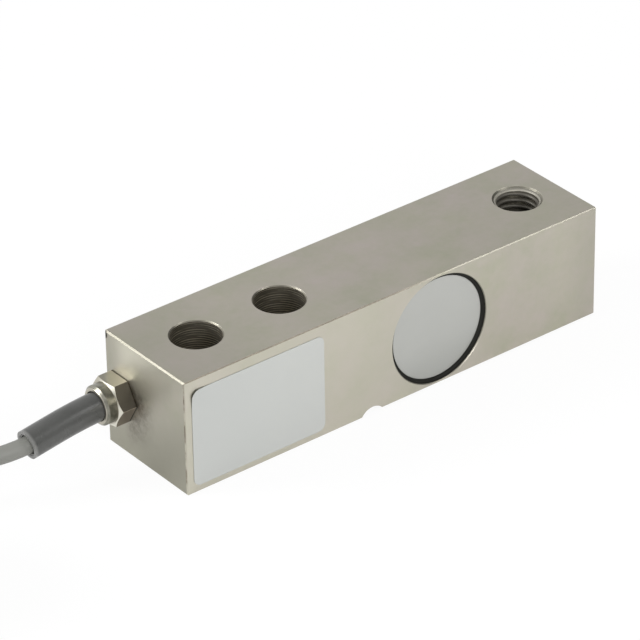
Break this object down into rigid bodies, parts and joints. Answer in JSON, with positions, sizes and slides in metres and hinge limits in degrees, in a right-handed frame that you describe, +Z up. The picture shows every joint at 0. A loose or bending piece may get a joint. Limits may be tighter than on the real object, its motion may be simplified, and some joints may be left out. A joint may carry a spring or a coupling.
{
  "type": "shear beam load cell",
  "caption": "Square bar load cell with bolt-down fixing holes at its cable end, a threaded load hole at its free end, round gauge pockets in its sides, and its cable tied up in a hank.",
  "frame": {"origin": "on the mounting face, midway between the two fixing holes and in the middle of the bar's width", "axes": "+X from the cable end to the loaded end, +Z up through the load hole, +Y to the side away from the label"},
  "size_m": [0.3151, 0.0406, 0.0322],
  "materials": {
    "nickel_plated_steel": "satin nickel plate over milled alloy steel",
    "gland_metal": "nickel plate, semi-gloss",
    "black_rubber": "matte rubber",
    "sleeve_plastic": "grey plastic tube, slightly cloudy",
    "cable_jacket": "matte grey cable jacket",
    "tie_nylon": "black nylon",
    "core_red": "red core insulation",
    "core_black": "black core insulation",
    "core_green": "green core insulation",
    "core_white": "white core insulation",
    "tinned_copper": "tinned copper strands",
    "label_foil": "satin foil sticker, left bare",
    "disc_metal": "satin sheet metal",
    "black_sealant": "black silicone sealant",
    "gauge_film": "amber polyimide film",
    "gauge_foil": "etched constantan foil",
    "enamelled_copper": "enamelled copper wire",
    "board_laminate": "green lacquered laminate",
    "solder": "solder",
    "resistor_body": "black chip resistor"
  },
  "bodies": {
    "root": {"beam_body": "nickel_plated_steel", "gland_screw": "gland_metal", "gland_washer": "gland_metal", "gland_bush": "black_rubber", "relief_sleeve": "sleeve_plastic", "cable_lead": "cable_jacket", "cable_hank": "cable_jacket", "hank_tie": "tie_nylon", "tail_core_red": "core_red", "tail_core_black": "core_black", "tail_core_green": "core_green", "tail_core_white": "core_white", "tail_conductors": "tinned_copper", "tail_drain": "tinned_copper", "rating_label": "label_foil", "front_cover_disc": "disc_metal", "rear_cover_disc": "disc_metal", "front_sealant": "black_sealant", "rear_sealant": "black_sealant", "front_gauge_film": "gauge_film", "rear_gauge_film": "gauge_film", "front_gauge_foil": "gauge_foil", "rear_gauge_foil": "gauge_foil", "front_gauge_wires": "enamelled_copper", "rear_gauge_wires": "enamelled_copper", "bridge_board": "board_laminate", "solder_joints": "solder", "trim_resistors": "resistor_body", "inner_core_red": "core_red", "inner_core_black": "core_black", "inner_core_green": "core_green", "inner_core_white": "core_white"}
  },
  "joints": []
}
